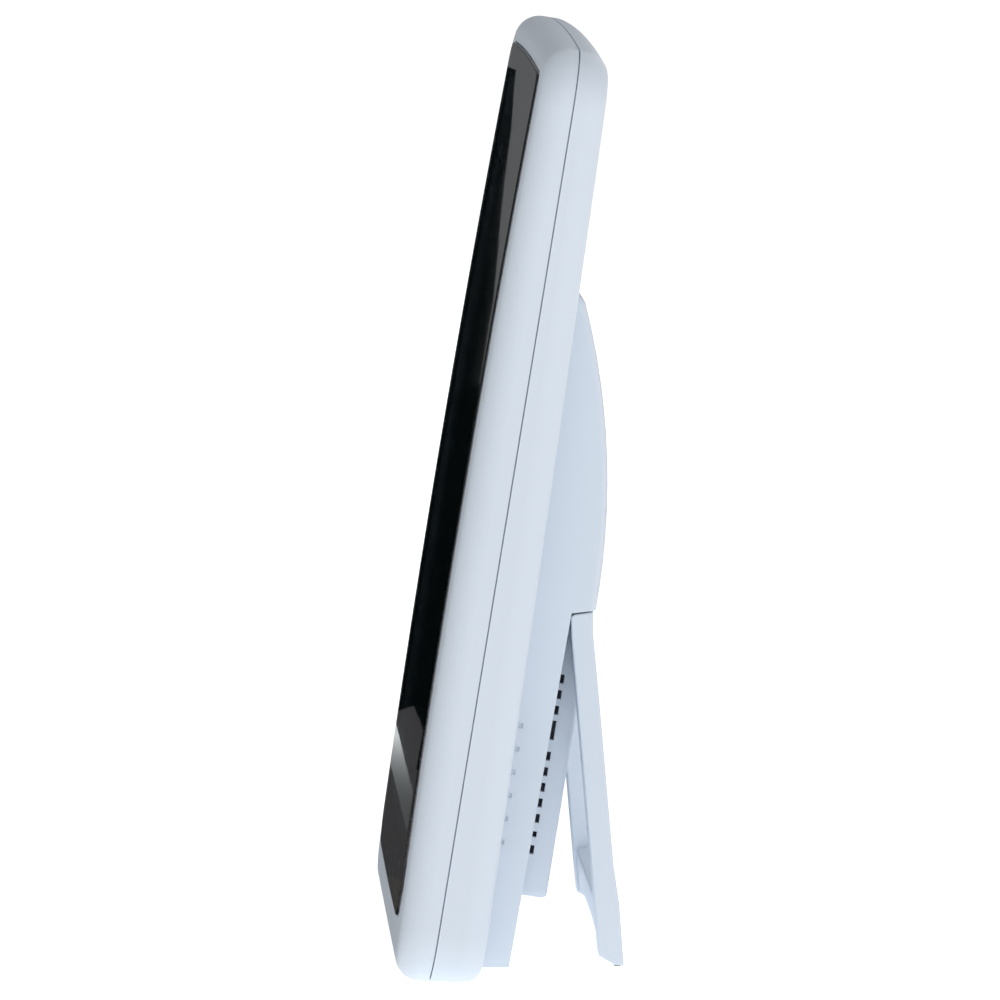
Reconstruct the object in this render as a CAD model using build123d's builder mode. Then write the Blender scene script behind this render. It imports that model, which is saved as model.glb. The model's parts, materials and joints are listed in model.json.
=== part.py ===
from build123d import *
import os
from math import cos, radians, sin

# A free-standing digital photo frame in portrait format, in millimetres.
# It leans back on a fold-out stand. +Z is up, the picture faces -Y, and the origin is
# on the table, under the middle of the standing frame.

os.makedirs("parts", exist_ok=True)

# ---- Driving dimensions ----
case_width = 168.0
case_height = 237.4
case_foot = -1.0            # the outline runs on below the table, where the floor cuts it
case_corner = 14.0          # corner radius of the case outline
top_rise = 1.6              # the top edge is a shallow arch
lean = 9.2                  # the case leans back by this many degrees
seam_foot_y = -20.85        # where the seam between the two shells meets the table
wall = 2.2                  # thickness of the moulded shells
edge_round = 6.5            # rounding all round the front and the back of the case
seam_gap = 0.35             # shadow line between the shells
floor_gap = 0.3             # the shells clear the table by this much, on their rubber feet

back_at_foot = 12.9         # depth of the rear shell behind the seam, at the foot
back_at_top = 8.0
bezel_front = [(9.1, case_foot), (10.4, 95.0), (8.2, case_height)]   # depth before the seam, height

lens_width = 134.0
lens_foot = 12.4
lens_top = 229.6
lens_corner = 5.0
lens_foot_corner = 9.0      # the two lower corners are rounder
lens_thick = 2.0
lens_proud = 0.7
lens_edge = 0.35
tape_thick = 0.3
window_width = 114.0        # opening behind the lens, which leaves a ledge for the tape
window_foot = 28.0
window_top = 222.0
plate_thick = 3.5           # the bezel's front plate, lens pocket included
lens_clearance = 0.3
tongue = 1.5
tongue_inset = 1.25
rebate = 1.7
rebate_inset = 1.15

pod_half = 56.0             # the electronics pod moulded on the rear shell
pod_top = 174.0
pod_crown = 27.9            # deepest point of the pod behind the seam
pod_crown_height = 100.0
pod_radius = 184.0
pod_round = 1.8
ledge_foot = 20.6           # depth of the floor of the stand's recess, at the foot
ledge_slope = 0.013
recess_top = 95.1
split_height = 96.8         # the bulge ends here, over the folded stand's top
block_half = 45.0           # raised block that fills the folded stand's window
block_foot = 20.5
block_top = 88.0
block_back = 28.0
block_root = 18.0

hinge_depth = 24.8          # stand hinge axis, behind the seam and up the case
hinge_height = 91.9
stand_angle = 5.3           # the opened leg slopes back from upright by this much
leg_width = 10.0
stand_round = 0.5
foot_back = 2.9             # back of the leg, from the line through the hinge axis
foot_front = -3.1
cross_foot = 82.8           # the cross-piece between the legs, measured down from the axis
cross_head = 72.2
cross_reach = pod_half - leg_width + 1
pin_radius = 0.8

lug_x = 32.0
lug_width = 8.0
pin_long = 24.0
channel_half = 14.0

vent_rise = 0.5             # middle of the cooling vents, from the floor of the recess
vent_deep = 2.8
vent_tall = 2.3
vent_pitch = 4.05
vents = [(32.6, vent_tall), (36.6, 1.5)]                      # height, how tall
vents += [(40.7 + vent_pitch * row, vent_tall) for row in range(5)]
vents += [(63.6, 5.0)]
vents += [(68.8 + vent_pitch * row, vent_tall) for row in range(3)]
screen_x = 42.4             # dust screens behind the vents
screen_middle = 55.0
screen_long = 56.0

slot_x = 63.2               # sound slots beside the pod
slot_long = 15.2
slot_tall = 1.2
slot_depth = 11.0
slot_heights = [35 + 6 * row for row in range(6)]
slots_middle = sum(slot_heights) / len(slot_heights)
speaker_back = 8.6

post_x = 73.0               # case screws
post_heights = (16.0, 120.0, 224.0)
post_depth = 1.3
post_root = 7.3             # the posts start inside the front plate, this far before the seam
boss_front = 1.6
seat_depth = 4.4

lcd_depth = -2.6            # display stack, behind the seam
display_middle = 125.0
display_foot = 24.0
bracket_depth = 1.6
bracket_back = 2.4
ear_x = 67.4
ear_heights = (70.0, 180.0)
key_height = 20.0
key_board = (98.0, 7.6)
key_depth = -7.4

board_depth = 7.0           # main board, behind the seam
board_back = 8.6
board_left = -52.0
board_right = 48.0
board_foot = 30.0
board_top = 167.0

processor_place = (5.0, 120.0)     # parts on the board: across, up the case
memory_places = [(33.0, 110.0), (33.0, 130.0)]
capacitor_places = [(-30.0 + 9.0 * place, 84.0) for place in range(5)]
cell_place = (20.0, 55.0)
cell_radius = 10.0
cell_thick = 3.2
fin_pitch = 4.5
fin_count = 7

jack_x = -47.6              # sockets and the button, in the pod's left wall
jack_depth = 13.1
jack_height = 104.0
jack_size = (12.0, 9.0, 9.0)
jack_bore = 3.0
jack_pin_radius = 0.9
usb_x = -47.8
usb_depth = 12.1
usb_height = 118.0
usb_size = (14.0, 7.0, 14.4)
card_x = -41.2
card_depth = 10.4
card_height = 140.0
card_size = (25.0, 3.4, 27.6)
switch_x = -49.0
switch_size = (6.0, 5.8, 6.0)
button_depth = 12.4
button_height = 159.0
button_radius = 2.4

foot_x = 60.0               # rubber feet
foot_y = seam_foot_y + 4.6
foot_size = (14.0, 5.0)
foot_tall = 1.0
pad_x = 51.0
pad_reach = 9.45            # middle of the pads, behind the hinge axis
pad_size = (6.0, 1.7)
pad_tall = 1.4

along_depth = (-90, 0, 0)   # turns a cylinder's axis to run from front to back
across = (0, 90, 0)         # turns a cylinder's axis to run from side to side

# ---- Working planes, all leaning with the case ----
up = (0, sin(radians(lean)), cos(radians(lean)))
back = (0, cos(radians(lean)), -sin(radians(lean)))
foot_point = Vector(0, seam_foot_y, 0)
level = Plane(origin=foot_point, x_dir=(1, 0, 0), z_dir=up)                  # across, back; faces up
face = Plane(origin=foot_point, x_dir=(1, 0, 0), z_dir=(0, -back[1], -back[2]))   # across, up; faces the viewer
side = Plane(origin=foot_point, x_dir=back, z_dir=(1, 0, 0))                 # back, up; faces +X
floor = Plane.XY.offset(floor_gap)

hinge_point = foot_point + Vector(*back) * hinge_depth + Vector(*up) * hinge_height
leg_out = (0, cos(radians(stand_angle)), sin(radians(stand_angle)))
leg_side = Plane(origin=hinge_point, x_dir=leg_out, z_dir=(1, 0, 0))         # outwards, up the leg
leg_face = Plane(origin=hinge_point, x_dir=(-1, 0, 0), z_dir=leg_out)        # across, up the leg
pad_y = hinge_point.Y + pad_reach

# The leg seen from the side: outwards from, and up from, the hinge axis.
bar_foot = -2.3
bar_back = foot_back - 0.15  # the hinge bar's back lies just inside the legs'
bar_line = [(3.2, 3.4), (-1.25, 3.2), (-2.15, 2.7), (-2.45, bar_foot), (bar_back, bar_foot)]
leg_line = [
    (3.4, 3.6),
    (-1.3, 3.4),
    (-2.3, 2.9),
    (-2.6, bar_foot),
    (foot_front, -83.9),
    (0.3, -86.4),
    (foot_back, -87.0),
    (3.2, -71.3),
    (2.65, -61.3),
    (foot_back, -20),
    (foot_back, bar_foot),
]


def leaning(*places):
    """Places on the leaning case, given as across, back and up."""
    return Locations(*[level.location * Location(place) for place in places])


def back_depth(height):
    """Depth of the rear shell's flat back behind the seam, at a height up the case."""
    return back_at_foot + (back_at_top - back_at_foot) * height / case_height


def ledge_depth(height):
    """Depth of the floor of the stand's recess, at a height up the case."""
    return ledge_foot + ledge_slope * height


def outline(width, foot, top, corner, foot_corner, rise_top, rise_foot, inset):
    """A plate with rounded corners, whose top and foot are shallow arcs."""
    half = width / 2
    with BuildSketch() as plate:
        with BuildLine():
            Line((half, foot + rise_foot), (half, top - rise_top))
            ThreePointArc((half, top - rise_top), (0, top), (-half, top - rise_top))
            Line((-half, top - rise_top), (-half, foot + rise_foot))
            ThreePointArc((-half, foot + rise_foot), (0, foot), (half, foot + rise_foot))
        make_face()
        fillet(plate.vertices().group_by(Axis.Y)[-1], radius=corner)
        fillet(plate.vertices().group_by(Axis.Y)[0], radius=foot_corner)
        if inset:
            offset(amount=-inset)
    return plate.sketch


def case_outline(inset=0.0):
    """The case seen from the front, or the same drawn smaller all round by inset."""
    return outline(case_width, case_foot, case_height, case_corner, case_corner, top_rise, 0.2, inset)


def lens_outline(inset=0.0):
    """The front lens seen from the front, or the same drawn smaller all round by inset."""
    return outline(lens_width, lens_foot, lens_top, lens_corner, lens_foot_corner, 1.0, 0.6, inset)


def front_slab(shift, back_plane):
    """The room, seen from the side, between a plane and the bowed front moved back by shift."""
    with BuildSketch() as slab:
        with BuildLine():
            bow = ThreePointArc(*[(shift - depth, height) for depth, height in bezel_front])
            Polyline(bow @ 1, (back_plane, case_height), (back_plane, case_foot), bow @ 0)
        make_face()
    return slab.sketch


def back_slab(shift):
    """The room, seen from the side, between the seam and the sloping back moved back by shift."""
    with BuildSketch() as slab:
        with BuildLine():
            Polyline(
                (seam_gap / 2, case_foot),
                (back_at_foot + shift, case_foot),
                (back_at_top + shift, case_height),
                (seam_gap / 2, case_height),
                close=True,
            )
        make_face()
    return slab.sketch


def on_bulge(height):
    """A point of the pod's bulging back, seen from the side."""
    centre = pod_crown - pod_radius
    return (centre + (pod_radius**2 - (height - pod_crown_height) ** 2) ** 0.5, height)


def pod_profile(inset=0.0):
    """The pod seen from the side: a bulge with a rounded top, over a recess for the stand."""
    with BuildSketch() as profile:
        with BuildLine():
            bulge = ThreePointArc(on_bulge(split_height), on_bulge(140), on_bulge(pod_top))
            Polyline(
                bulge @ 1,
                (0, pod_top + 3),
                (0, -6),
                (ledge_depth(-6), -6),
                (ledge_depth(recess_top), recess_top),
                bulge @ 0,
            )
        make_face()
        fillet(profile.vertices().sort_by_distance(on_bulge(pod_top))[0], radius=2.5)
        if inset:
            offset(amount=-inset)
    return profile.sketch


# ---- Front bezel: the front half of the case, with a pocket for the lens ----
with BuildPart() as lens_pocket:
    with BuildSketch(face):
        add(lens_outline(-lens_clearance))
    extrude(amount=14)
    with BuildSketch(side):
        add(front_slab(lens_thick - lens_proud + tape_thick, -20))
    extrude(amount=case_width, both=True, mode=Mode.INTERSECT)

with BuildPart() as bezel_room:
    with BuildSketch(face):
        add(case_outline(wall))
    extrude(amount=12)
    with BuildSketch(side):
        add(front_slab(plate_thick, 1))
    extrude(amount=case_width, both=True, mode=Mode.INTERSECT)
    split(bisect_by=floor.offset(wall), keep=Keep.TOP)

with BuildPart() as front_bezel:
    with BuildSketch(face):
        add(case_outline())
    extrude(amount=12)
    with BuildSketch(side):
        add(front_slab(0, -seam_gap / 2))
    extrude(amount=case_width, both=True, mode=Mode.INTERSECT)
    bowed_front = front_bezel.faces().filter_by(GeomType.CYLINDER).sort_by(SortBy.AREA)[-1]
    fillet(bowed_front.edges(), radius=edge_round)
    add(bezel_room.part, mode=Mode.SUBTRACT)
    add(lens_pocket.part, mode=Mode.SUBTRACT)
    # the opening over the picture, and a slot over the touch keys
    with BuildSketch(face):
        with Locations((0, (window_foot + window_top) / 2)):
            RectangleRounded(window_width, window_top - window_foot, 2)
        with Locations((0, key_height)):
            RectangleRounded(key_board[0] + 1, key_board[1] + 1, 1)
    extrude(amount=14, mode=Mode.SUBTRACT)
    # a tongue behind the seam, which locates the rear shell
    with BuildSketch(face.offset(-tongue)):
        add(case_outline(tongue_inset))
        add(case_outline(wall), mode=Mode.SUBTRACT)
    extrude(amount=tongue + 2)
    # posts for the case screws and for the display bracket
    with leaning(*[(x, (post_depth - post_root) / 2, w) for x in (-post_x, post_x) for w in post_heights]):
        Cylinder(3.5, post_depth + post_root, rotation=along_depth)
    with leaning(*[(x, (bracket_depth - post_root) / 2, w) for x in (-ear_x, ear_x) for w in ear_heights]):
        Cylinder(3.0, bracket_depth + post_root, rotation=along_depth)
    with leaning(*[(x, post_depth - 3, w) for x in (-post_x, post_x) for w in post_heights]):
        Cylinder(1.3, 6, rotation=along_depth, mode=Mode.SUBTRACT)
    with leaning(*[(x, bracket_depth - 3, w) for x in (-ear_x, ear_x) for w in ear_heights]):
        Cylinder(1.15, 6, rotation=along_depth, mode=Mode.SUBTRACT)
    split(bisect_by=floor, keep=Keep.TOP)
front_bezel.part.label = "front_bezel"
export_step(front_bezel.part, "parts/front_bezel.step")

# ---- Front lens: a bowed, glossy pane that stands a little proud of the bezel ----
with BuildPart() as front_lens:
    with BuildSketch(face):
        add(lens_outline())
    extrude(amount=14)
    with BuildSketch(side):
        add(front_slab(-lens_proud, 0))
        add(front_slab(lens_thick - lens_proud, 0.01), mode=Mode.SUBTRACT)
    extrude(amount=case_width, both=True, mode=Mode.INTERSECT)
    lens_front = front_lens.faces().sort_by(SortBy.AREA)[-2:].sort_by(Axis.Y)[0]
    fillet(lens_front.edges(), radius=lens_edge)
front_lens.part.label = "front_lens"
export_step(front_lens.part, "parts/front_lens.step")

# ---- Lens tape: the adhesive ring between the lens and the ledge ----
with BuildPart() as lens_tape:
    with BuildSketch(face):
        add(lens_outline(1))
        with Locations((0, (window_foot + window_top) / 2)):
            Rectangle(window_width + 2, window_top - window_foot + 2, mode=Mode.SUBTRACT)
        with Locations((0, key_height)):
            Rectangle(key_board[0] + 2, key_board[1] + 2, mode=Mode.SUBTRACT)
    extrude(amount=14)
    with BuildSketch(side):
        add(front_slab(lens_thick - lens_proud, 0))
        add(front_slab(lens_thick - lens_proud + tape_thick, 0.01), mode=Mode.SUBTRACT)
    extrude(amount=case_width, both=True, mode=Mode.INTERSECT)
lens_tape.part.label = "lens_tape"
export_step(lens_tape.part, "parts/lens_tape.step")

# ---- Touch key board: a narrow board that senses fingers through the foot of the lens ----
with BuildPart(level) as touch_key_board:
    with Locations((0, key_depth, key_height)):
        Box(key_board[0], 1.0, key_board[1])
    with Locations((0, key_depth + 1.4, key_height)):
        Box(10, 1.8, 5)
touch_key_board.part.label = "touch_key_board"
export_step(touch_key_board.part, "parts/touch_key_board.step")

# ---- Rear shell: the back half of the case, with the pod, the recess and the block ----
with BuildPart() as pod:
    with BuildSketch(side):
        add(pod_profile())
    extrude(amount=pod_half, both=True)
    brow = pod.faces().filter_by(GeomType.CYLINDER).sort_by(SortBy.AREA)[-1]
    fillet(brow.edges().filter_by(GeomType.CIRCLE), radius=pod_round)

with BuildPart() as block:
    with BuildSketch(face.offset(-block_root)):
        with Locations((0, (block_foot + block_top) / 2)):
            RectangleRounded(2 * block_half, block_top - block_foot, 2)
    extrude(amount=block_root - block_back)
    fillet(block.faces().sort_by(Axis.Y)[-1].edges(), radius=1.2)

with BuildPart() as rear_room:
    with BuildSketch(face):
        add(case_outline(wall))
    extrude(amount=-14)
    with BuildSketch(side):
        add(back_slab(-wall))
    extrude(amount=case_width, both=True, mode=Mode.INTERSECT)
    sloping_back = rear_room.faces().sort_by(SortBy.AREA)[-2:].sort_by(Axis.Y)[-1]
    fillet(sloping_back.edges(), radius=edge_round - wall)
    with BuildSketch(side):
        add(pod_profile(wall))
    extrude(amount=pod_half - wall, both=True)
    with BuildSketch(face.offset(-block_root + wall)):
        with Locations((0, (block_foot + block_top) / 2)):
            Rectangle(2 * (block_half - wall), block_top - block_foot - 2 * wall)
    extrude(amount=block_root - block_back)
    split(bisect_by=floor.offset(wall), keep=Keep.TOP)

with BuildPart() as rear_shell:
    with BuildSketch(face):
        add(case_outline())
    extrude(amount=-14)
    with BuildSketch(side):
        add(back_slab(0))
    extrude(amount=case_width, both=True, mode=Mode.INTERSECT)
    sloping_back = rear_shell.faces().sort_by(SortBy.AREA)[-2:].sort_by(Axis.Y)[-1]
    fillet(sloping_back.edges(), radius=edge_round)
    add(pod.part)
    add(block.part)
    split(bisect_by=floor, keep=Keep.TOP)
    add(rear_room.part, mode=Mode.SUBTRACT)
    with BuildSketch(face.offset(-rebate)):
        add(case_outline(rebate_inset))
    extrude(amount=rebate, mode=Mode.SUBTRACT)
    # bosses and counterbores for the case screws
    for w in post_heights:
        boss_depth = back_depth(w) - 1
        with leaning(*[(x, (boss_depth + boss_front) / 2, w) for x in (-post_x, post_x)]):
            Cylinder(4.6, boss_depth - boss_front, rotation=along_depth)
        with leaning(*[(x, seat_depth + 10, w) for x in (-post_x, post_x)]):
            Cylinder(3.2, 20, rotation=along_depth, mode=Mode.SUBTRACT)
        with leaning(*[(x, seat_depth, w) for x in (-post_x, post_x)]):
            Cylinder(1.5, 10, rotation=along_depth, mode=Mode.SUBTRACT)
    # lugs for the stand's hinge pins
    with BuildSketch(side.offset(lug_x), side.offset(-lug_x)):
        with Locations((hinge_depth, hinge_height)):
            Circle(2 * pin_radius)
        with Locations((hinge_depth - 2, hinge_height)):
            Rectangle(4, 4 * pin_radius)
    extrude(amount=lug_width / 2, both=True)
    with leaning((0, hinge_depth, hinge_height)):
        Cylinder(pin_radius + 0.02, 2 * lug_x + 2 * lug_width, rotation=across, mode=Mode.SUBTRACT)
    # a row of cooling vents low on each side wall of the block
    for height, tall in vents:
        depth = ledge_depth(height) + vent_rise
        with leaning((-block_half, depth, height), (block_half, depth, height)):
            Box(3 * wall, vent_deep, tall, mode=Mode.SUBTRACT)
    # sound slots beside the pod, over the speakers
    with leaning(*[(x, slot_depth, w) for x in (-slot_x, slot_x) for w in slot_heights]):
        Box(slot_long, 6.6, slot_tall, mode=Mode.SUBTRACT)
    # openings in the pod's side wall for the sockets and the button
    with leaning((-pod_half, jack_depth, jack_height)):
        Cylinder(3.6, 3 * wall, rotation=across, mode=Mode.SUBTRACT)
    with leaning((-pod_half, usb_depth, usb_height)):
        Box(3 * wall, 7.6, 15.1, mode=Mode.SUBTRACT)
    with leaning((-pod_half, card_depth, card_height)):
        Box(3 * wall, 3.2, 26.0, mode=Mode.SUBTRACT)
    with leaning((-pod_half, button_depth, button_height)):
        Cylinder(button_radius + 0.25, 3 * wall, rotation=across, mode=Mode.SUBTRACT)
    # pockets for the rubber feet
    with BuildSketch(Plane.XY):
        with Locations((-foot_x, foot_y), (foot_x, foot_y)):
            RectangleRounded(foot_size[0] + 0.3, foot_size[1] + 0.3, 2)
    extrude(amount=foot_tall, mode=Mode.SUBTRACT)
rear_shell.part.label = "rear_shell"
export_step(rear_shell.part, "parts/rear_shell.step")

# ---- Rubber feet under the seam ----
with BuildPart() as case_feet:
    with BuildSketch(Plane.XY):
        with Locations((-foot_x, foot_y), (foot_x, foot_y)):
            RectangleRounded(foot_size[0], foot_size[1], 2)
    extrude(amount=foot_tall)
case_feet.part.label = "case_feet"
export_step(case_feet.part, "parts/case_feet.step")

# ---- Case screws: six self-tapping screws from the back ----
with BuildPart(level) as case_screws:
    with Locations(*[(x, seat_depth + 0.9, w) for x in (-post_x, post_x) for w in post_heights]):
        Cylinder(2.7, 1.8, rotation=along_depth)
    with Locations(*[(x, seat_depth - 3.6, w) for x in (-post_x, post_x) for w in post_heights]):
        Cylinder(1.25, 7.4, rotation=along_depth)
    with Locations(*[(x, seat_depth + 1.5, w) for x in (-post_x, post_x) for w in post_heights]):
        Box(3.0, 1.2, 0.7, mode=Mode.SUBTRACT)
        Box(0.7, 1.2, 3.0, mode=Mode.SUBTRACT)
case_screws.part.label = "case_screws"
export_step(case_screws.part, "parts/case_screws.step")

# ---- Display stack: glass panel, light guide in its tray, and the sheet-metal bracket ----
with BuildPart(level) as lcd_panel:
    with Locations((0, lcd_depth - 0.8, display_middle)):
        Box(122, 1.6, 202)
lcd_panel.part.label = "lcd_panel"
export_step(lcd_panel.part, "parts/lcd_panel.step")

with BuildPart(level) as light_guide:
    with Locations((0, lcd_depth + 1.6, display_middle)):
        Box(124, 3.2, 204)
light_guide.part.label = "light_guide"
export_step(light_guide.part, "parts/light_guide.step")

with BuildPart(level) as backlight_tray:
    with Locations((0, lcd_depth + 2.1, display_middle)):
        Box(126, 4.2, 206)
    with Locations((0, lcd_depth + 1.6, display_middle)):
        Box(124.2, 3.2, 204.2, mode=Mode.SUBTRACT)
backlight_tray.part.label = "backlight_tray"
export_step(backlight_tray.part, "parts/backlight_tray.step")

with BuildPart(level) as display_bracket:
    with Locations((0, bracket_depth + 0.4, display_middle)):
        Box(126, 0.8, 206)
        Box(90, 0.8, 60, mode=Mode.SUBTRACT)
    with Locations(*[(x, bracket_depth + 0.4, w) for x in (-ear_x + 2, ear_x - 2) for w in ear_heights]):
        Box(10, 0.8, 8)
    with Locations(*[(x, bracket_depth + 0.4, w) for x in (-ear_x, ear_x) for w in ear_heights]):
        Cylinder(1.3, 2, rotation=along_depth, mode=Mode.SUBTRACT)
display_bracket.part.label = "display_bracket"
export_step(display_bracket.part, "parts/display_bracket.step")

with BuildPart(level) as bracket_screws:
    with Locations(*[(x, bracket_depth + 1.5, w) for x in (-ear_x, ear_x) for w in ear_heights]):
        Cylinder(2.2, 1.4, rotation=along_depth)
    with Locations(*[(x, bracket_depth - 1.4, w) for x in (-ear_x, ear_x) for w in ear_heights]):
        Cylinder(1.1, 4.6, rotation=along_depth)
bracket_screws.part.label = "bracket_screws"
export_step(bracket_screws.part, "parts/bracket_screws.step")

# ---- Display ribbon: folds under the tray, from the panel's foot to the main board ----
with BuildPart() as display_ribbon:
    with BuildSketch(side):
        with BuildLine():
            FilletPolyline(
                (lcd_depth - 0.8, display_foot - 0.2),
                (lcd_depth - 0.8, display_foot - 5.5),
                (board_depth - 0.2, display_foot - 5.5),
                (board_depth - 0.2, board_foot + 12),
                radius=1.5,
            )
        trace(line_width=0.3)
    extrude(amount=10, both=True)
display_ribbon.part.label = "display_ribbon"
export_step(display_ribbon.part, "parts/display_ribbon.step")

# ---- Main board with its standoffs and screws ----
board_holes = [(x, w) for x in (-24, 42) for w in (board_foot + 20, board_top - 20)]

with BuildPart(level) as main_board:
    with Locations(((board_left + board_right) / 2, board_depth + 0.8, (board_foot + board_top) / 2)):
        Box(board_right - board_left, 1.6, board_top - board_foot)
    with Locations(*[(x, board_depth + 0.8, w) for x, w in board_holes]):
        Cylinder(1.2, 4, rotation=along_depth, mode=Mode.SUBTRACT)
main_board.part.label = "main_board"
export_step(main_board.part, "parts/main_board.step")

with BuildPart(level) as board_standoffs:
    with Locations(*[(x, (bracket_back + board_depth) / 2, w) for x, w in board_holes]):
        Cylinder(2.2, board_depth - bracket_back, rotation=along_depth)
        Cylinder(1.0, board_depth - bracket_back, rotation=along_depth, mode=Mode.SUBTRACT)
board_standoffs.part.label = "board_standoffs"
export_step(board_standoffs.part, "parts/board_standoffs.step")

with BuildPart(level) as board_screws:
    with Locations(*[(x, board_back + 0.6, w) for x, w in board_holes]):
        Cylinder(2.0, 1.2, rotation=along_depth)
    with Locations(*[(x, board_back - 1.8, w) for x, w in board_holes]):
        Cylinder(0.95, 4, rotation=along_depth)
board_screws.part.label = "board_screws"
export_step(board_screws.part, "parts/board_screws.step")

# ---- What the board carries ----
with BuildPart(level) as processor:
    with Locations((processor_place[0], board_back + 0.7, processor_place[1])):
        Box(16, 1.4, 16)
processor.part.label = "processor"
export_step(processor.part, "parts/processor.step")

first_fin = processor_place[0] - fin_pitch * (fin_count - 1) / 2
fins = [first_fin + fin_pitch * fin for fin in range(fin_count)]

with BuildPart(level) as heat_spreader:
    with Locations((processor_place[0], board_back + 2.2, processor_place[1])):
        Box(30, 1.6, 30)
    with Locations(*[(x, board_back + 5, processor_place[1]) for x in fins]):
        Box(1.2, 4.4, 30)
heat_spreader.part.label = "heat_spreader"
export_step(heat_spreader.part, "parts/heat_spreader.step")

with BuildPart(level) as memory_chips:
    with Locations(*[(x, board_back + 0.6, w) for x, w in memory_places]):
        Box(10, 1.2, 14)
memory_chips.part.label = "memory_chips"
export_step(memory_chips.part, "parts/memory_chips.step")

with BuildPart(level) as capacitors:
    with Locations(*[(x, board_back + 3, w) for x, w in capacitor_places]):
        Cylinder(2.5, 6, rotation=along_depth)
capacitors.part.label = "capacitors"
export_step(capacitors.part, "parts/capacitors.step")

with BuildPart(level) as coin_cell_holder:
    with Locations((cell_place[0], board_back + 1.2, cell_place[1])):
        Cylinder(cell_radius + 1.5, 2.4, rotation=along_depth)
    with Locations((cell_place[0], board_back + 1.6, cell_place[1])):
        Cylinder(cell_radius + 0.2, 1.8, rotation=along_depth, mode=Mode.SUBTRACT)
coin_cell_holder.part.label = "coin_cell_holder"
export_step(coin_cell_holder.part, "parts/coin_cell_holder.step")

with BuildPart(level) as coin_cell:
    with Locations((cell_place[0], board_back + 0.7 + cell_thick / 2, cell_place[1])):
        Cylinder(cell_radius, cell_thick, rotation=along_depth)
coin_cell.part.label = "coin_cell"
export_step(coin_cell.part, "parts/coin_cell.step")

# ---- Sockets in the pod's side wall ----
with BuildPart(level) as card_socket:
    with Locations((card_x, card_depth, card_height)):
        Box(*card_size)
    with Locations((card_x - 1.2, card_depth, card_height)):
        Box(card_size[0] - 2, card_size[1] - 1, card_size[2] - 3.2, mode=Mode.SUBTRACT)
card_socket.part.label = "card_socket"
export_step(card_socket.part, "parts/card_socket.step")

with BuildPart(level) as usb_socket:
    with Locations((usb_x, usb_depth, usb_height)):
        Box(*usb_size)
    with Locations((usb_x - 0.7, usb_depth, usb_height)):
        Box(usb_size[0] - 1, usb_size[1] - 0.8, usb_size[2] - 0.8, mode=Mode.SUBTRACT)
    with Locations((usb_x + 1, usb_depth + 1.2, usb_height)):
        Box(11.6, 1.8, 11.2)
usb_socket.part.label = "usb_socket"
export_step(usb_socket.part, "parts/usb_socket.step")

with BuildPart(level) as dc_jack:
    with Locations((jack_x, jack_depth, jack_height)):
        Box(*jack_size)
    with Locations((jack_x - 1, jack_depth, jack_height)):
        Cylinder(jack_bore, 10.2, rotation=across, mode=Mode.SUBTRACT)
    with Locations((jack_x - 0.4, jack_depth, jack_height)):
        Cylinder(jack_pin_radius, 9.4, rotation=across)
dc_jack.part.label = "dc_jack"
export_step(dc_jack.part, "parts/dc_jack.step")

# ---- Power button and the switch that it presses ----
with BuildPart(level) as power_button:
    with Locations((-pod_half + 0.95, button_depth, button_height)):
        Cylinder(button_radius, 3.5, rotation=across)
    fillet(power_button.edges().sort_by(Axis.X)[0], radius=0.4)
    with Locations((-pod_half + wall + 0.45, button_depth, button_height)):
        Cylinder(button_radius + 0.7, 0.7, rotation=across)
power_button.part.label = "power_button"
export_step(power_button.part, "parts/power_button.step")

with BuildPart(level) as button_switch:
    with Locations((switch_x, board_back + switch_size[1] / 2, button_height)):
        Box(*switch_size)
button_switch.part.label = "button_switch"
export_step(button_switch.part, "parts/button_switch.step")

# ---- Speakers behind the sound slots, each with its gasket ----
for number, x in enumerate((-slot_x, slot_x), start=1):
    with BuildPart(level) as speaker:
        with Locations((x, speaker_back - 2.3, slots_middle)):
            Box(13, 4.6, 34)
    speaker.part.label = f"speaker_{number}"
    export_step(speaker.part, f"parts/speaker_{number}.step")
    with BuildPart(level) as gasket:
        with Locations((x, speaker_back + 0.25, slots_middle)):
            Box(13, 0.5, 34)
            Box(10, 0.5, 31, mode=Mode.SUBTRACT)
    gasket.part.label = f"speaker_gasket_{number}"
    export_step(gasket.part, f"parts/speaker_gasket_{number}.step")

# ---- Dust screens inside the block's vents ----
screen_depth = ledge_depth(screen_middle) + vent_rise

with BuildPart(level) as dust_screens:
    with Locations(*[(x, screen_depth, screen_middle) for x in (-screen_x, screen_x)]):
        Box(0.4, vent_deep + 3, screen_long)
dust_screens.part.label = "dust_screens"
export_step(dust_screens.part, "parts/dust_screens.step")

# ---- Stand: two legs, a hinge bar and a cross-piece, opened to its stop ----
leg_x = pod_half - leg_width / 2

with BuildPart() as stand_legs:
    with BuildSketch(leg_side.offset(leg_x), leg_side.offset(-leg_x)):
        with BuildLine():
            Polyline(*leg_line, close=True)
        make_face()
    extrude(amount=leg_width / 2, both=True)
    fillet(stand_legs.faces().filter_by(Axis.X).edges(), radius=stand_round)

with BuildPart() as hinge_bar:
    with BuildSketch(leg_side):
        with BuildLine():
            Polyline(*bar_line, close=True)
        make_face()
    extrude(amount=leg_x, both=True)
    fillet(hinge_bar.edges().filter_by(Axis.X), radius=stand_round)

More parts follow.
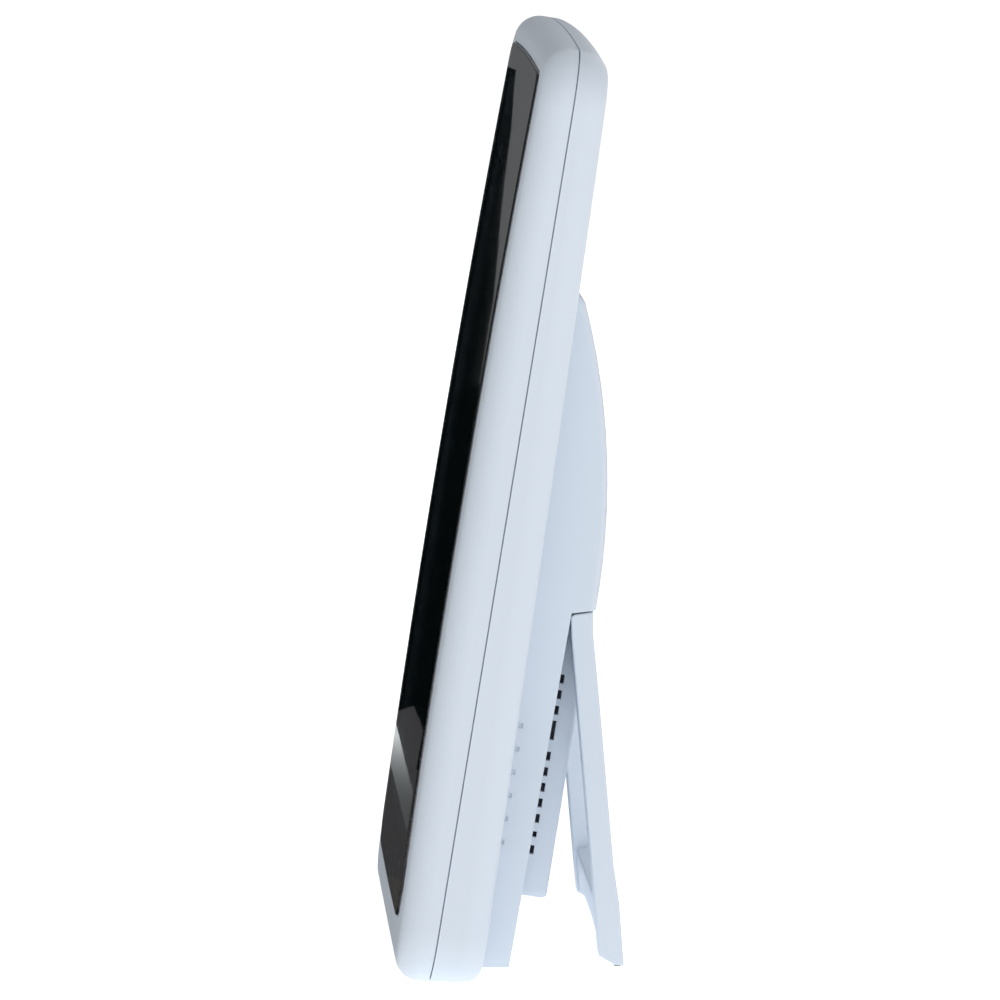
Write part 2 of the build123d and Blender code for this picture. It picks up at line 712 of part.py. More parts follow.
with BuildPart() as cross_piece:
    with BuildSketch(leg_face.offset(foot_front + 0.7)):
        with BuildLine():
            Polyline(
                (cross_reach, -cross_foot - 1),
                (cross_reach, -cross_head),
                (-cross_reach, -cross_head),
                (-cross_reach, -cross_foot - 1),
            )
            ThreePointArc((-cross_reach, -cross_foot - 1), (0, -cross_foot + 2), (cross_reach, -cross_foot - 1))
        make_face()
    extrude(amount=foot_back - foot_front - 1.0)
    long_edges = cross_piece.edges().group_by(Edge.length)[-1] + cross_piece.edges().group_by(Edge.length)[-2]
    fillet(long_edges, radius=stand_round)

with BuildPart() as stand_frame:
    add(stand_legs.part)
    add(hinge_bar.part)
    add(cross_piece.part)
    # notches for the shell's lugs, and a channel to feed the pins from
    with BuildSketch(leg_side.offset(lug_x), leg_side.offset(-lug_x)):
        Circle(2 * pin_radius + 0.3)
        with Locations((-2, 1.2)):
            Rectangle(4, 6)
    extrude(amount=lug_width / 2 + 0.4, both=True, mode=Mode.SUBTRACT)
    with BuildSketch(leg_side):
        with Locations((-1.6, 1.2)):
            Rectangle(5, 6)
    extrude(amount=channel_half, both=True, mode=Mode.SUBTRACT)
    with BuildSketch(leg_side):
        Circle(pin_radius + 0.05)
    extrude(amount=lug_x + pin_long / 2 + 0.5, both=True, mode=Mode.SUBTRACT)
    # pockets for the rubber pads
    with BuildSketch(Plane.XY):
        with Locations((-pad_x, pad_y), (pad_x, pad_y)):
            Rectangle(pad_size[0] + 0.2, pad_size[1] + 0.2)
    extrude(amount=pad_tall, mode=Mode.SUBTRACT)
stand_frame.part.label = "stand_frame"
export_step(stand_frame.part, "parts/stand_frame.step")

with BuildPart() as hinge_pins:
    with BuildSketch(leg_side.offset(lug_x - pin_long / 2), leg_side.offset(-lug_x - pin_long / 2)):
        Circle(pin_radius)
    extrude(amount=pin_long)
hinge_pins.part.label = "hinge_pins"
export_step(hinge_pins.part, "parts/hinge_pins.step")

with BuildPart() as stand_pads:
    with BuildSketch(Plane.XY):
        with Locations((-pad_x, pad_y), (pad_x, pad_y)):
            Rectangle(*pad_size)
    extrude(amount=pad_tall)
stand_pads.part.label = "stand_pads"
export_step(stand_pads.part, "parts/stand_pads.step")

print("hinge axis", [round(value, 3) for value in hinge_point])
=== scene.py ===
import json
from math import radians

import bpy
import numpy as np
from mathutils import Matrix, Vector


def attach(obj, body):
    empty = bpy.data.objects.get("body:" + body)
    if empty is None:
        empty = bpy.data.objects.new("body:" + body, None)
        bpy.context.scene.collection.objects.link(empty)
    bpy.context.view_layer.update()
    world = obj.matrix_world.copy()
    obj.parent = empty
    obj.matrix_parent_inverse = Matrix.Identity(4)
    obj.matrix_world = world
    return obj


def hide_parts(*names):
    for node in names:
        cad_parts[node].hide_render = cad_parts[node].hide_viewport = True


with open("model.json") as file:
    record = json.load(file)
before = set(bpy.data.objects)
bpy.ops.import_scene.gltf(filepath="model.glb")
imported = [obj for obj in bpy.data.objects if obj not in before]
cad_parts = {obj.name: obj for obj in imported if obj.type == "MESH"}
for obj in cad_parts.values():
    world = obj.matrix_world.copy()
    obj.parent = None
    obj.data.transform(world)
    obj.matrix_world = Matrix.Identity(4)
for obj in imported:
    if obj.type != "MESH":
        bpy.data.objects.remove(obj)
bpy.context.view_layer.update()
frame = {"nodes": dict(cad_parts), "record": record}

# %% [markdown]
# # A standing digital photo frame
#
# The imported model already holds the whole frame: two white shells, the display inside them,
# the electronics and the folding stand. Everything below adds looks to it. The real frame is
# injection moulded in white ABS with a finely textured satin skin, and its picture sits
# behind a thin, slightly bowed pane with a black printed border.

mm = 0.001
lean = radians(9.2)             # the case leans back by this much
seam_foot = -20.85 * mm         # where the seam between the shells meets the table

# %% [markdown]
# ## A frame of reference that leans with the case
#
# On the real object nothing on the case is upright: the shells, the lens and the screws all
# share one tilted frame. It could be handled by turning each finished piece, but a finished
# piece has to stay unturned. So every point is worked out in the case's own directions
# (across, back, up) and carried into the room by one small function.

# %% Points on the leaning case
def on_case(across, back, up):
    """Room position of points given on the case.

    y = seam foot + back * cos(lean) + up * sin(lean), z = up * cos(lean) - back * sin(lean).
    """
    across, back, up = np.broadcast_arrays(across, back, up)
    y = seam_foot + back * np.cos(lean) + up * np.sin(lean)
    z = up * np.cos(lean) - back * np.sin(lean)
    return np.stack([across, y, z], axis=-1)


bow_heights = np.array([-1, 95, 237.4]) * mm
bow_depths = np.array([9.1, 10.4, 8.2]) * mm
bow = np.polyfit(bow_heights, bow_depths, 2)


def bowed_front(up):
    """Distance of the bezel's bowed front before the seam: a parabola through three heights."""
    return np.polyval(bow, up)


print("front bow at three heights, mm:", bowed_front(bow_heights) / mm)

# %% [markdown]
# ## From a grid of points to a piece
#
# A moulded or cut piece can be described as rings: each ring runs round the outline, and
# ring after ring climbs from the middle of the back, round the edge, to the middle of the
# front. Numpy works out all rings at once as one array. The faces between them follow the
# same pattern on every piece, so one function builds them.

# %% Rings into a closed mesh
def ring_faces(rings, around):
    """Quads between neighbouring rings; the corners are numbered ring by ring."""
    ring, spot = np.meshgrid(np.arange(rings - 1), np.arange(around), indexing="ij")
    after = (spot + 1) % around
    corners = [ring * around + spot, ring * around + after,
               (ring + 1) * around + after, (ring + 1) * around + spot]
    return np.stack(corners, axis=-1).reshape(-1, 4)


def band_faces(rings, around):
    """Quads of a band that closes on itself: the last ring is joined to the first."""
    return ring_faces(rings + 1, around) % (rings * around)


def make_piece(name, points, faces, body, finish, smooth=True):
    """A mesh object from points and faces, riding on a body, with its finish."""
    mesh = bpy.data.meshes.new(name)
    mesh.from_pydata(points.reshape(-1, 3), [], [list(map(int, face)) for face in faces])
    mesh.validate()
    mesh.polygons.foreach_set("use_smooth", [smooth] * len(mesh.polygons))
    mesh.materials.append(finish)
    piece = bpy.data.objects.new(name, mesh)
    bpy.context.scene.collection.objects.link(piece)
    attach(piece, body)
    print(name, "has", len(mesh.vertices), "points and", len(mesh.polygons), "faces")
    return piece


# %% [markdown]
# ## The rounded outline of the lens
#
# The pane is cut with straight sides, rounded corners and a top edge that is a shallow
# arch. An outline of curves would do, but the rings need the same number of points on
# every offset of it. So four corner arcs and the straight runs between them are joined
# into one closed line, and the arch is added to it.

# %% Rounded plate outline
def plate_outline(half, foot, top, corners, arch=0.0, sag=0.0, inset=0.0, run=14, turn=10):
    """Closed outline of a rounded plate, counter-clockwise from the lower right.

    Each corner is a quarter circle of radius corner - inset about a fixed centre, with the
    lower and the upper corner radius given; the runs between corners are divided evenly;
    the top rises by arch * (1 - (x / half) ** 2).
    """
    lower, upper = np.maximum(np.array(corners) - inset, 0.05 * mm)
    radius = np.array([lower, upper, upper, lower])
    side = np.array([1, 1, -1, -1])
    across = side * (half - inset - radius)
    up = np.array([foot + sag + inset + lower, top - arch - inset - upper])[[0, 1, 1, 0]]
    centres = np.stack([across, up], axis=-1)
    sweep = np.linspace(0, np.pi / 2, turn)
    start = np.array([-np.pi / 2, 0, np.pi / 2, np.pi])[:, None]
    angle = start + sweep
    arcs = centres[:, None] + radius[:, None, None] * np.stack([np.cos(angle), np.sin(angle)], axis=-1)
    share = np.linspace(0, 1, run + 2)[1:-1, None]
    leave, meet = arcs[:, -1][:, None, :], np.roll(arcs, -1, axis=0)[:, 0][:, None, :]
    runs = leave + (meet - leave) * share
    line = np.concatenate([arcs, runs], axis=1).reshape(-1, 2)
    height = (line[:, 1] - foot) / (top - foot)
    swell = 1 - (line[:, 0] / half) ** 2
    line[:, 1] += (arch * height**6 - sag * (1 - height) ** 6) * swell
    return line


lens_size = dict(half=67 * mm, foot=12.4 * mm, top=229.6 * mm, corners=(9 * mm, 5 * mm),
                 arch=1 * mm, sag=0.6 * mm)
print("points round the lens:", len(plate_outline(**lens_size)))

# %% [markdown]
# ## Finishes made from noise
#
# The skin of a moulded part isn't one colour. The tool was spark eroded, so the plastic
# carries a fine random grain that scatters light, and its tone drifts a little over a
# hand's width. An image could carry that, but noise in object space needs no unwrapping
# and has no edges. One recipe serves plastics, rubber and foam: a slow noise drives tone
# and roughness, a fast one drives a shallow bump.

# %% Recipe for moulded and cast skins
def start_finish(name):
    """An empty material with its shader and an object-space coordinate."""
    finish = bpy.data.materials.new(name)
    finish.use_nodes = True
    nodes, links = finish.node_tree.nodes, finish.node_tree.links
    shader = nodes["Principled BSDF"]
    place = nodes.new("ShaderNodeTexCoord").outputs["Object"]
    return finish, nodes, links, shader, place


def add_noise(nodes, links, place, scale, detail=2.0):
    """Smooth random value between 0 and 1 that changes over 1 / scale metres."""
    noise = nodes.new("ShaderNodeTexNoise")
    noise.inputs["Scale"].default_value = scale
    noise.inputs["Detail"].default_value = detail
    links.new(place, noise.inputs["Vector"])
    return noise.outputs["Fac"]


def add_range(nodes, links, value, low, high):
    """The same value spread between low and high."""
    spread = nodes.new("ShaderNodeMapRange")
    spread.inputs["From Min"].default_value = 0.3
    spread.inputs["From Max"].default_value = 0.7
    spread.inputs["To Min"].default_value = low
    spread.inputs["To Max"].default_value = high
    links.new(value, spread.inputs["Value"])
    return spread.outputs["Result"]


def add_tones(nodes, links, value, first, second):
    """Colour between two tones, by a value from 0.3 to 0.7."""
    ramp = nodes.new("ShaderNodeValToRGB")
    ramp.color_ramp.elements[0].position = 0.3
    ramp.color_ramp.elements[1].position = 0.7
    ramp.color_ramp.elements[0].color = (*first, 1)
    ramp.color_ramp.elements[1].color = (*second, 1)
    links.new(value, ramp.inputs["Fac"])
    return ramp.outputs["Color"]


def add_bump(nodes, links, shader, height, depth, strength=1.0):
    """Tilts the surface by a height pattern that is depth metres deep."""
    bump = nodes.new("ShaderNodeBump")
    bump.inputs["Strength"].default_value = strength
    bump.inputs["Distance"].default_value = depth
    links.new(height, bump.inputs["Height"])
    links.new(bump.outputs["Normal"], shader.inputs["Normal"])


def grained(name, tone, other, drift, grain, depth, rough, shine=0.5):
    """Moulded skin: tone drifts over 1 / drift metres, and grain is 1 / grain metres fine."""
    finish, nodes, links, shader, place = start_finish(name)
    slow = add_noise(nodes, links, place, drift)
    fine = add_noise(nodes, links, place, grain, 3.0)
    links.new(add_tones(nodes, links, slow, tone, other), shader.inputs["Base Color"])
    links.new(add_range(nodes, links, fine, *rough), shader.inputs["Roughness"])
    shader.inputs["Specular IOR Level"].default_value = shine
    add_bump(nodes, links, shader, fine, depth)
    return finish


# %% [markdown]
# ## The white skin and the other moulded parts
#
# The case and the stand are satin ABS, the button is the same plastic but polished, and the
# feet are soft pale rubber. Tape, foam and nylon are black in different ways: the foam
# scatters most. They differ only in tone, grain and roughness, so each is one call of the
# recipe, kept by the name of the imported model's material slot.

# %% Moulded finishes
finishes = {
    "shell_plastic": grained("satin_white_abs", (0.655, 0.725, 0.81), (0.67, 0.74, 0.825),
                             14, 2600, 0.012 * mm, (0.40, 0.50), shine=0.35),
    "button_plastic": grained("smooth_white_abs", (0.62, 0.69, 0.77), (0.64, 0.71, 0.79),
                              30, 3200, 0.006 * mm, (0.24, 0.32)),
    "part_black": grained("black_nylon", (0.012, 0.012, 0.013), (0.02, 0.02, 0.022),
                          60, 2800, 0.02 * mm, (0.42, 0.58)),
    "foot_rubber": grained("pale_grey_rubber", (0.34, 0.35, 0.37), (0.38, 0.39, 0.41),
                           90, 1800, 0.03 * mm, (0.72, 0.86), shine=0.3),
    "gasket_foam": grained("closed_cell_foam", (0.018, 0.018, 0.018), (0.035, 0.035, 0.036),
                           200, 1500, 0.12 * mm, (0.85, 0.97), shine=0.2),
    "tape_black": grained("foam_tape", (0.010, 0.010, 0.011), (0.016, 0.016, 0.017),
                          120, 2200, 0.04 * mm, (0.7, 0.85), shine=0.25),
    "tray_white": grained("backlight_white", (0.74, 0.74, 0.72), (0.79, 0.79, 0.77),
                          25, 2400, 0.01 * mm, (0.5, 0.62)),
    "ribbon_film": grained("amber_film", (0.34, 0.15, 0.03), (0.42, 0.2, 0.045),
                           40, 900, 0.01 * mm, (0.28, 0.4)),
}
print("moulded finishes:", ", ".join(finishes))

# %% [markdown]
# ## Metals
#
# The bracket is cold rolled sheet with faint rolling lines, the screws are zinc plated and
# the standoffs are turned brass. Rolling lines are noise stretched along one direction,
# which a Mapping node does by squeezing the coordinate the other way.

# %% Rolled and turned metal
def rolled_metal(name, tone, other, stretch, rough):
    """Metal whose noise is drawn out along one axis into faint lines."""
    finish, nodes, links, shader, place = start_finish(name)
    drawn = nodes.new("ShaderNodeMapping")
    drawn.inputs["Scale"].default_value = stretch
    links.new(place, drawn.inputs["Vector"])
    lines = add_noise(nodes, links, drawn.outputs["Vector"], 1.0, 4.0)
    links.new(add_tones(nodes, links, lines, tone, other), shader.inputs["Base Color"])
    links.new(add_range(nodes, links, lines, *rough), shader.inputs["Roughness"])
    shader.inputs["Metallic"].default_value = 1.0
    add_bump(nodes, links, shader, lines, 0.01 * mm, 0.5)
    return finish


finishes["sheet_steel"] = rolled_metal("zinc_sheet", (0.50, 0.51, 0.52), (0.60, 0.61, 0.62),
                                       (120, 2400, 2400), (0.3, 0.42))
finishes["screw_steel"] = rolled_metal("zinc_plated_screw", (0.46, 0.47, 0.49), (0.56, 0.57, 0.59),
                                       (1500, 1500, 400), (0.24, 0.36))
finishes["standoff_brass"] = rolled_metal("turned_brass", (0.68, 0.46, 0.18), (0.76, 0.53, 0.22),
                                          (1800, 300, 1800), (0.22, 0.32))
finishes["part_aluminium"] = rolled_metal("milled_aluminium", (0.62, 0.63, 0.64), (0.70, 0.71, 0.72),
                                          (160, 1800, 1800), (0.3, 0.4))

# %% [markdown]
# ## Circuit board, cloth and display glass
#
# A board is green lacquer over copper: the tracks show as slightly raised, lighter bands,
# which a brick pattern gives with its mortar. The dust screens are a plain weave of black
# thread, so two crossed wave patterns are multiplied. A switched-off display looks like
# smoked glass with a fine grid of cells in it.

# %% Board, cloth and display
def lacquered_board(name):
    """Green lacquer with paler raised tracks between rows of pads."""
    finish, nodes, links, shader, place = start_finish(name)
    turned = nodes.new("ShaderNodeMapping")
    turned.inputs["Rotation"].default_value = (radians(90), 0, 0)
    links.new(place, turned.inputs["Vector"])
    tracks = nodes.new("ShaderNodeTexBrick")
    tracks.inputs["Scale"].default_value = 90
    tracks.inputs["Mortar Size"].default_value = 0.03
    tracks.inputs["Color1"].default_value = (0.006, 0.085, 0.030, 1)
    tracks.inputs["Color2"].default_value = (0.008, 0.105, 0.036, 1)
    tracks.inputs["Mortar"].default_value = (0.030, 0.200, 0.080, 1)
    links.new(turned.outputs["Vector"], tracks.inputs["Vector"])
    links.new(tracks.outputs["Color"], shader.inputs["Base Color"])
    shader.inputs["Roughness"].default_value = 0.32
    add_bump(nodes, links, shader, tracks.outputs["Fac"], 0.03 * mm, 0.6)
    return finish


def woven(name, tone, other, pitch):
    """Plain weave: two crossed waves of thread, pitch metres apart."""
    finish, nodes, links, shader, place = start_finish(name)
    crossed = nodes.new("ShaderNodeMath")
    crossed.operation = "MULTIPLY"
    for number, direction in enumerate(("Y", "Z")):
        thread = nodes.new("ShaderNodeTexWave")
        thread.bands_direction = direction
        thread.inputs["Scale"].default_value = 0.314 / pitch
        links.new(place, thread.inputs["Vector"])
        links.new(thread.outputs["Fac"], crossed.inputs[number])
    links.new(add_tones(nodes, links, crossed.outputs[0], tone, other), shader.inputs["Base Color"])
    shader.inputs["Roughness"].default_value = 0.85
    shader.inputs["Sheen Weight"].default_value = 0.2
    add_bump(nodes, links, shader, crossed.outputs[0], 0.08 * mm)
    return finish


def display_glass(name):
    """Dark glass with a barely visible grid of picture cells."""
    finish, nodes, links, shader, place = start_finish(name)
    cells = nodes.new("ShaderNodeTexChecker")
    cells.inputs["Scale"].default_value = 3000
    cells.inputs["Color1"].default_value = (0.010, 0.010, 0.012, 1)
    cells.inputs["Color2"].default_value = (0.015, 0.015, 0.017, 1)
    links.new(place, cells.inputs["Vector"])
    links.new(cells.outputs["Color"], shader.inputs["Base Color"])
    haze = add_noise(nodes, links, place, 1400)
    links.new(add_range(nodes, links, haze, 0.27, 0.31), shader.inputs["Roughness"])
    return finish


finishes["circuit_board"] = lacquered_board("green_lacquer_board")
finishes["screen_cloth"] = woven("grey_dust_cloth", (0.05, 0.055, 0.065), (0.10, 0.105, 0.12), 0.35 * mm)
finishes["display_glass"] = display_glass("sleeping_display")
finishes["guide_acrylic"] = grained("frosted_acrylic", (0.80, 0.81, 0.80), (0.85, 0.86, 0.85),
                                    30, 1500, 0.01 * mm, (0.3, 0.45))

# %% [markdown]
# ## The lens
#
# The pane over the picture is 2 mm acrylic with polished faces and a black border printed
# on its back. At a low angle it works as a mirror. One solid black pane would look right
# from the side but dead from the front, so the pane is clear here, and the black comes
# from a separate print layer just behind it, as on the real one.

# %% Clear acrylic and black ink
def clear_acrylic(name):
    """Polished acrylic: full transmission, refraction 1.49, with faint polishing haze."""
    finish, nodes, links, shader, place = start_finish(name)
    haze = add_noise(nodes, links, place, 45, 3.0)
    links.new(add_range(nodes, links, haze, 0.015, 0.035), shader.inputs["Roughness"])
    shader.inputs["Base Color"].default_value = (0.80, 0.83, 0.86, 1)
    shader.inputs["IOR"].default_value = 1.49
    shader.inputs["Transmission Weight"].default_value = 1.0
    return finish


finishes["lens_black"] = clear_acrylic("clear_lens_acrylic")
border_ink = grained("black_border_ink", (0.003, 0.004, 0.006), (0.005, 0.006, 0.008),
                     40, 1600, 0.004 * mm, (0.35, 0.5), shine=0.3)

# %% [markdown]
# ## The pane itself
#
# The real pane is cut from a sheet and bent to the bow of the case, with its front edge
# rounded by polishing. A box with a bevel would be flat, so the outline is drawn as rings
# instead: they grow out from the middle of the back, climb round the edge, and shrink to
# the middle of the front, and each is laid on the bow.

# %% Lens pane
lens_thick = 1.9 * mm
lens_proud = 0.7 * mm
lens_edge = 0.5 * mm
lens_middle = np.array([0, 121 * mm])
face_shares = np.array([0.9, 0.65, 0.4, 0.15, 0.001])


def on_lens_back(flat, behind):
    """Outlines laid on the pane's back face, or behind it.

    back = behind - bow(up) - proud + thick.
    """
    across, up = flat[..., 0], flat[..., 1]
    return on_case(across, behind - bowed_front(up) - lens_proud + lens_thick, up)


def lens_rings():
    """Insets and depths of the rings from the middle of the back to the middle of the front.

    The back corner is a small chamfer. The front corner is a quarter round of radius r:
    inset = r * (1 - cos a), depth = thick - r * (1 - sin a).
    """
    a = np.linspace(0, np.pi / 2, 7)
    side_inset = np.array([0.6, 0.1, 0, 0]) * mm
    side_depth = np.array([0, 0, 0.1, 1.2]) * mm
    round_inset = lens_edge * (1 - np.cos(a))
    round_depth = lens_thick - lens_edge * (1 - np.sin(a))
    inset = np.concatenate([side_inset, round_inset, [lens_edge + 0.15 * mm]])
    depth = np.concatenate([side_depth, round_depth, [lens_thick]])
    return inset, depth


def lens_pane():
    """Rings round the lens outline, each laid on the bowed front; the faces close to a point."""
    insets, depths = lens_rings()
    edge = np.stack([plate_outline(inset=inset, **lens_size) for inset in insets])
    shrink = face_shares[:, None, None]
    back_rings = lens_middle + (edge[0] - lens_middle) * shrink[::-1]
    front_rings = lens_middle + (edge[-1] - lens_middle) * shrink
    flat = np.concatenate([back_rings, edge, front_rings])
    count = len(face_shares)
    depth = np.concatenate([np.zeros(count), depths, np.full(count, lens_thick)])
    return on_lens_back(flat, -depth[:, None])


pane_points = lens_pane()
rings, around = pane_points.shape[:2]
caps = [list(range(around))[::-1], list(range((rings - 1) * around, rings * around))]
lens = make_piece("cover_lens", pane_points, list(ring_faces(rings, around)) + caps,
                  "case", finishes["lens_black"])
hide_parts("front_lens")

# %% [markdown]
# ## The printed border
#
# The ink is only a few hundredths of a millimetre thick, with a sharp window over the
# picture. It could be painted into the pane's material, but as its own layer behind the
# clear acrylic it gets true depth and refraction. It is a flat ring: outer line, inner
# line, and the same two lines again a little further back.

# %% Border layer
window_line = dict(half=56.3 * mm, foot=28.7 * mm, top=221.3 * mm, corners=(0.4 * mm, 0.4 * mm))
border_steps = 5


def border_layer():
    """Rings from the outer line to the window line on the front, and back again behind it."""
    outer = plate_outline(inset=0.5 * mm, **lens_size)
    inner = plate_outline(**window_line)
    share = np.linspace(0, 1, border_steps)[:, None, None]
    front = outer + (inner - outer) * share
    flat = np.concatenate([front, front[::-1]])
    behind = np.repeat([0.02 * mm, 0.08 * mm], border_steps)
    return on_lens_back(flat, behind[:, None])


border_points = border_layer()
border_band = band_faces(*border_points.shape[:2])
make_piece("border_print", border_points, border_band, "case", border_ink, smooth=False)

# %% [markdown]
# ## Marks of the touch keys
#
# A sensor board lies behind the foot of the lens, so the lens carries a row of printed key
# marks there. Each mark is a rounded square line, and the one in the middle is larger. They
# could be painted into the ink, but a line of real thickness stays crisp from any distance.
# One mark is a band of four rings, just like the border, and numpy shifts it along the row.

# %% Key marks
key_ink = grained("grey_key_ink", (0.20, 0.21, 0.22), (0.24, 0.25, 0.26),
                  60, 1600, 0.004 * mm, (0.35, 0.5))
key_height = 20 * mm
key_halves = np.array([4, 4, 5, 4, 4]) * mm
key_places = np.linspace(-42 * mm, 42 * mm, len(key_halves))
key_line = 0.45 * mm


def square_line(half, corner):
    """Rounded square of a half width, at the height of the keys."""
    return plate_outline(half, key_height - half, key_height + half, (corner, corner), run=4, turn=6)


def key_mark(place, half):
    """Four rings of one mark: outer and inner line in front, then the same two behind."""
    outer = square_line(half, 1.5 * mm)
    inner = square_line(half - key_line, 1.1 * mm)
    flat = np.stack([outer, inner, inner, outer]) + np.array([place, 0])
    behind = np.array([0, 0, 0.015, 0.015]) * mm
    return on_lens_back(flat, behind[:, None])


marks = np.stack([key_mark(place, half) for place, half in zip(key_places, key_halves)])
count, rings, around = marks.shape[:3]
first_corner = np.arange(count)[:, None, None] * rings * around
mark_faces = (band_faces(rings, around) + first_corner).reshape(-1, 4)
make_piece("key_marks", marks, mark_faces, "case", key_ink, smooth=False)

# %% [markdown]
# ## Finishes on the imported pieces
#
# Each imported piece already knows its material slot. On the real frame, pieces of one slot
# are made of the same stuff, so one lookup gives every piece its finish. A list by hand
# would say the same, but it would go stale when a piece is added.

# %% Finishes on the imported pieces
for part in frame["record"]["subparts"]:
    skin = frame["nodes"][part["node"]].data
    skin.materials.clear()
    skin.materials.append(finishes[part["material_slot"]])

# %% [markdown]
# ## Room, light and camera
#
# The frame stands on a white sweep inside an even surround, which is brightest on the
# frame's right and back. One large soft panel adds to it from the upper right, and a weak
# one fills the other side. A long lens looks almost square at the frame's right side, from
# a little above. The sweep glows a little of its own, so that no shadow greys it.

# %% Floor
bpy.ops.mesh.primitive_circle_add(vertices=96, radius=14, fill_type="NGON")
floor = bpy.context.object
floor.name = "floor"
white, nodes, links, shader, place = start_finish("white_sweep")
drift = add_noise(nodes, links, place, 3)
pale = add_tones(nodes, links, drift, (0.86, 0.86, 0.86), (0.88, 0.88, 0.88))
links.new(pale, shader.inputs["Base Color"])
shader.inputs["Roughness"].default_value = 0.9
shader.inputs["Specular IOR Level"].default_value = 0.1
shader.inputs["Emission Color"].default_value = (1, 1, 1, 1)
shader.inputs["Emission Strength"].default_value = 0.66
floor.data.materials.append(white)

# %% [markdown]
# ## Surround and lamps
#
# A white tent round the frame lights it from everywhere, and more from one side. It could
# be built from cards, but a sky whose strength depends only on direction does the same
# without a seam. Two square panels add the direction that models the rounded edges.

# %% Soft surround
def soft_world(dim, bright, towards):
    """Sky whose strength runs evenly from dim to bright along one direction."""
    world = bpy.data.worlds.new("soft_surround")
    world.use_nodes = True
    nodes, links = world.node_tree.nodes, world.node_tree.links
    along = nodes.new("ShaderNodeVectorMath")
    along.operation = "DOT_PRODUCT"
    along.inputs[1].default_value = towards
    links.new(nodes.new("ShaderNodeTexCoord").outputs["Generated"], along.inputs[0])
    fade = nodes.new("ShaderNodeMapRange")
    fade.inputs["From Min"].default_value = -1
    fade.inputs["To Min"].default_value = dim
    fade.inputs["To Max"].default_value = bright
    links.new(along.outputs["Value"], fade.inputs["Value"])
    links.new(fade.outputs["Result"], nodes["Background"].inputs["Strength"])
    nodes["Background"].inputs["Color"].default_value = (1, 1, 1, 1)
    return world


bpy.context.scene.world = soft_world(0.10, 0.66, (0.7, 0.5, 0.5))
bpy.context.scene.view_settings.view_transform = "Standard"


def soft_panel(name, place, aim, size, power):
    """Square area light at place, turned towards aim."""
    light = bpy.data.lights.new(name, "AREA")
    light.size, light.energy = size, power
    panel = bpy.data.objects.new(name, light)
    panel.location = place
    panel.rotation_euler = (Vector(aim) - Vector(place)).to_track_quat("-Z", "Y").to_euler()
    bpy.context.scene.collection.objects.link(panel)


soft_panel("side_light", (1.5, 0.3, 1.2), (0, 0, 0.12), 1.2, 5.2)
soft_panel("fill_light", (-1.6, 0.5, 0.9), (0, 0, 0.12), 1.2, 4)

# %% [markdown]
# ## Glowing cards that paint the lens's reflections
#
# At a low angle the glossy lens mirrors whatever stands on its far side. A studio puts a
# black card there, or the pane turns as white as the room. These cards glow and are seen
# only in reflections, so they are painted reflections: a black one, with a grey upper corner,
# a grey foot and one pale slanting strip, drawn in the tones the pane should mirror.

# %% Cards that paint reflections
def glowing(name, tone, low, high, foot, top):
    """Black paint that glows, for painted reflections; its strength climbs with height.

    strength = low + (high - low) * ((z - foot) / (top - foot)) ** 4
    """
    paint, nodes, links, shader, place = start_finish(name)
    parts = nodes.new("ShaderNodeSeparateXYZ")
    links.new(place, parts.inputs[0])
    share = nodes.new("ShaderNodeMapRange")
    share.inputs["From Min"].default_value = foot
    share.inputs["From Max"].default_value = top
    links.new(parts.outputs["Z"], share.inputs["Value"])
    curve = nodes.new("ShaderNodeMath")
    curve.operation = "POWER"
    curve.inputs[1].default_value = 4
    links.new(share.outputs["Result"], curve.inputs[0])
    strength = nodes.new("ShaderNodeMapRange")
    strength.inputs["To Min"].default_value = low
    strength.inputs["To Max"].default_value = high
    links.new(curve.outputs[0], strength.inputs["Value"])
    links.new(strength.outputs["Result"], shader.inputs["Emission Strength"])
    shader.inputs["Emission Color"].default_value = (*tone, 1)
    shader.inputs["Base Color"].default_value = (0, 0, 0, 1)
    shader.inputs["Specular IOR Level"].default_value = 0
    return paint


def reflection_card(name, corners, tone, low, high, foot, top):
    """A flat card seen only in reflections, a painted reflection glowing from low at its foot to high at
    its top.
    """
    mesh = bpy.data.meshes.new(name)
    mesh.from_pydata(corners, [], [tuple(range(len(corners)))])
    mesh.materials.append(glowing(name, tone, low, high, foot * mm, top * mm))
    card = bpy.data.objects.new(name, mesh)
    bpy.context.scene.collection.objects.link(card)
    card.visible_camera = card.visible_diffuse = card.visible_shadow = False


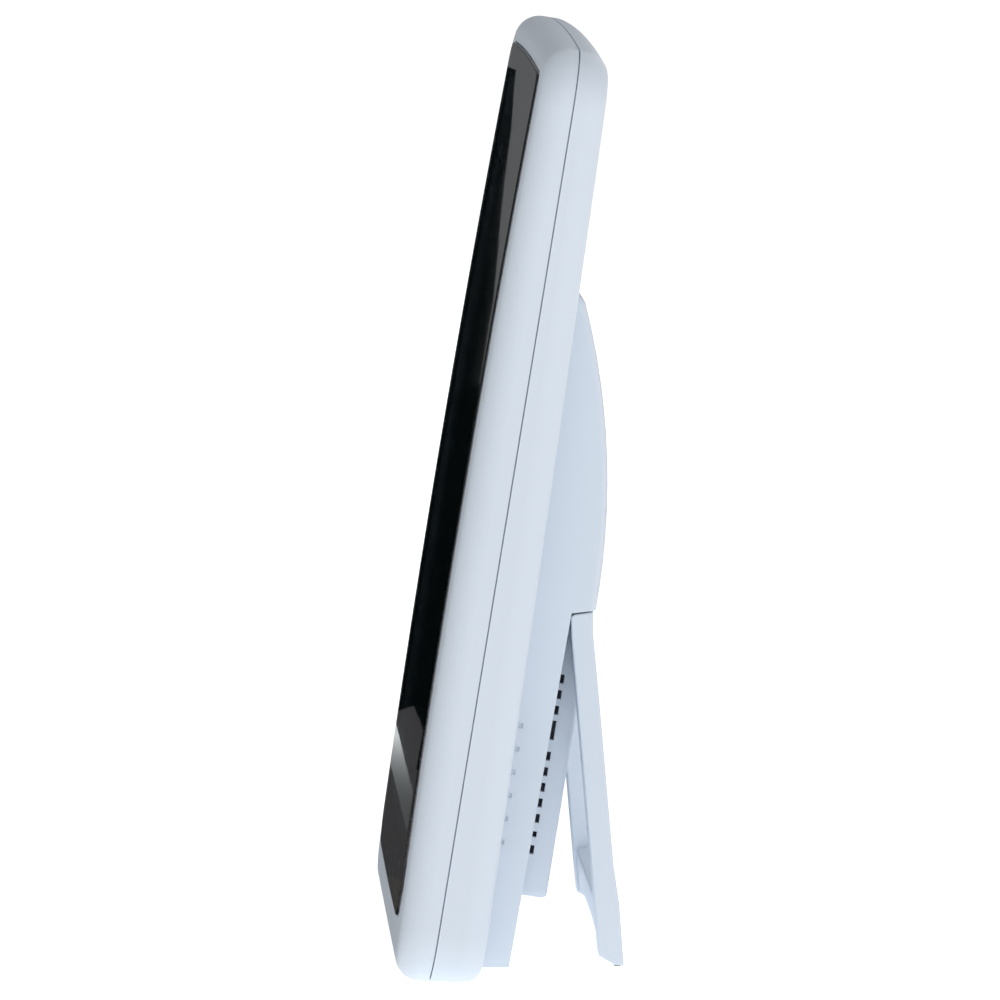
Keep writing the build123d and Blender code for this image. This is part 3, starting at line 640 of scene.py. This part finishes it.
def upright_reflection_card(name, across, outline, tone, low, high=None, foot=0, top=40):
    """A card that paints a reflection, standing across the view at one place; its outline is given as
    (y, z) in mm.
    """
    corners = [(across * mm, y * mm, z * mm) for y, z in outline]
    reflection_card(name, corners, tone, low, high or low, foot, top)


# Painted reflections: glowing cards seen only in the lens, drawn in the shapes it should mirror.
upright_reflection_card("black_reflection_card", -101, [(-500, -30), (60, -30), (60, 320), (-500, 320)], (0.5, 0.9, 1), 0.003)
upright_reflection_card("grey_top_reflection_card", -100, [
    (-300, 136), (-20, 136), (-15.7, 159), (-11.3, 175), (-7.1, 191), (-3.9, 204),
    (-0.6, 214.7), (0.6, 219), (60, 219), (60, 320), (-300, 320)], (0.97, 1, 1.02), 0.125)
upright_reflection_card("grey_middle_reflection_card", -100, [
    (-25, 43.6), (-30, 47.2), (-34.5, 41.5), (-36.2, 25.6), (-26.8, 41.4)], (1, 1, 1.05), 0.052)
upright_reflection_card("grey_foot_reflection_card", -100, [
    (-28, 31.3), (-28.6, 27), (-29.6, 21), (-30.2, 16.5), (60, 16), (60, -30), (-300, -30), (-300, 13)],
    (1, 1, 1.04), 0.046)
upright_reflection_card("pale_strip_reflection_card", -99.5, [(-25.5, 43.5), (-36.5, 24.4), (-38, 13.5), (-26.5, 33.6)],
             (0.95, 1, 1.02), 0.09, 0.75, 12, 38)
# Painted reflection: a faint warm glow lying on the table, mirrored in the foot of the lens.
reflection_card("table_reflection_card", [
    (-0.5, -0.4, 0.0004), (0.06, -0.4, 0.0004), (0.06, -0.0295, 0.0004), (-0.5, -0.0295, 0.0004)],
    (1, 0.98, 0.93), 0.055, 0.055, 0, 40)

# %% [markdown]
# ## Camera
#
# The frame is looked at from its right side, 2.6 degrees round to the front and 6.5 degrees
# above level, from a little over two metres. A long lens from there keeps the case nearly
# as it would be drawn, while its far edges still show.

# %% Camera
aim = Vector((0, 0.0004, 0.1128))
turn = radians(87.4)
climb = radians(6.55)
distance = 2.204
view = Vector((np.sin(turn) * np.cos(climb), -np.cos(turn) * np.cos(climb), np.sin(climb)))
camera = bpy.data.objects.new("camera", bpy.data.cameras.new("camera"))
camera.data.lens, camera.data.sensor_width = 307.7, 36
camera.data.clip_end = 60
camera.location = aim + view * distance
camera.rotation_euler = (-view).to_track_quat("-Z", "Y").to_euler()
bpy.context.scene.collection.objects.link(camera)
bpy.context.scene.camera = camera
